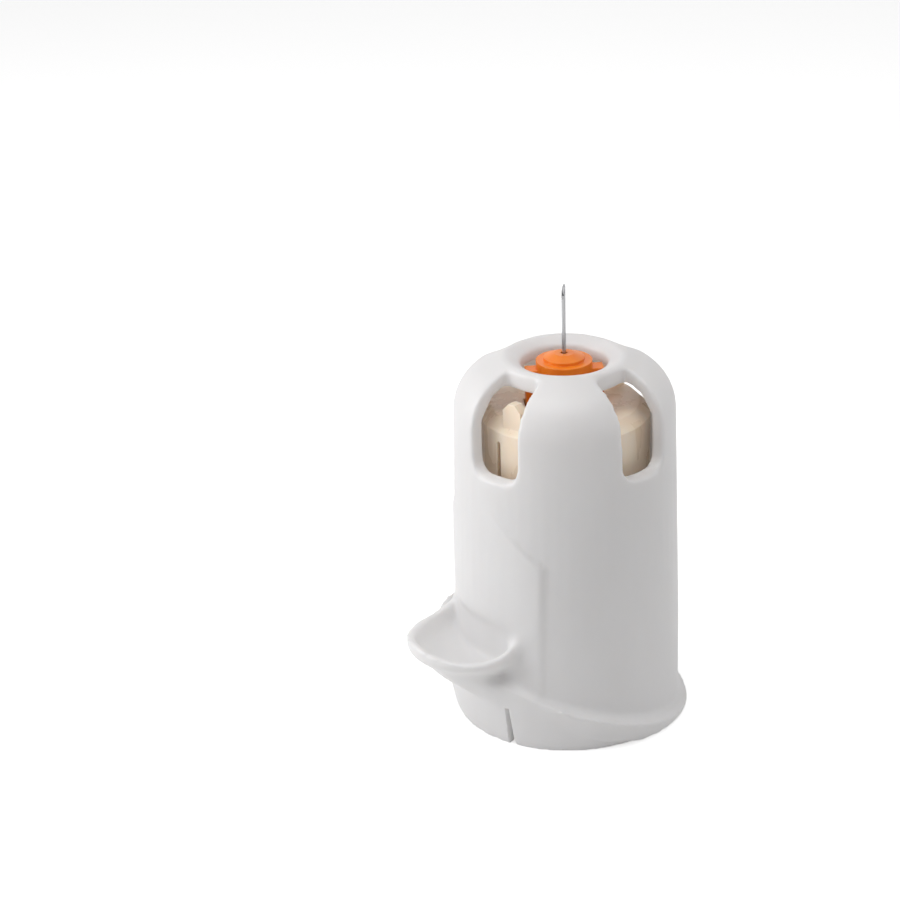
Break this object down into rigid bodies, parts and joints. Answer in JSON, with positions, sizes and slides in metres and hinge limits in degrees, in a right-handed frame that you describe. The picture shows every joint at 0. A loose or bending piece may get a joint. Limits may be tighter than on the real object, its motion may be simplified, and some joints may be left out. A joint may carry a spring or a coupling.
{
  "type": "pen needle",
  "caption": "Safety pen needle: threaded hub, fixed cannula, sliding release sleeve with a finger ledge, and a needle guard that covers the point.",
  "frame": {"origin": "on the axis, in the plane of the open end that the part stands on", "axes": "+Z along the needle towards its point, -Y towards the camera, the finger ledge lies between -X and -Y"},
  "size_m": [0.0161, 0.0143, 0.0257],
  "materials": {
    "white_plastic": "satin white moulding",
    "clear_plastic": "translucent natural moulding",
    "orange_plastic": "glossy orange moulding",
    "spring_steel": "drawn wire",
    "needle_steel": "polished drawn tube",
    "adhesive": "cured clear adhesive"
  },
  "bodies": {
    "hub": {"needle_hub": "clear_plastic", "guide_housing": "clear_plastic", "cannula": "needle_steel", "adhesive_bead": "adhesive", "guard_spring": "spring_steel"},
    "sleeve": {"release_sleeve": "white_plastic"},
    "guard": {"needle_guard": "orange_plastic"}
  },
  "joints": [
    {"name": "sleeve_pull", "type": "slide", "parent": "hub", "child": "sleeve", "axis": [0, 0, -1], "range_m": [0, 0.0012]},
    {"name": "guard_release", "type": "slide", "parent": "hub", "child": "guard", "axis": [0, 0, 1], "range_m": [0, 0.0052], "deforming": ["guard_spring"]}
  ],
  "couplings": [
    {"joint": "guard_release", "follows": "sleeve_pull", "ratio": 4.3333}
  ]
}
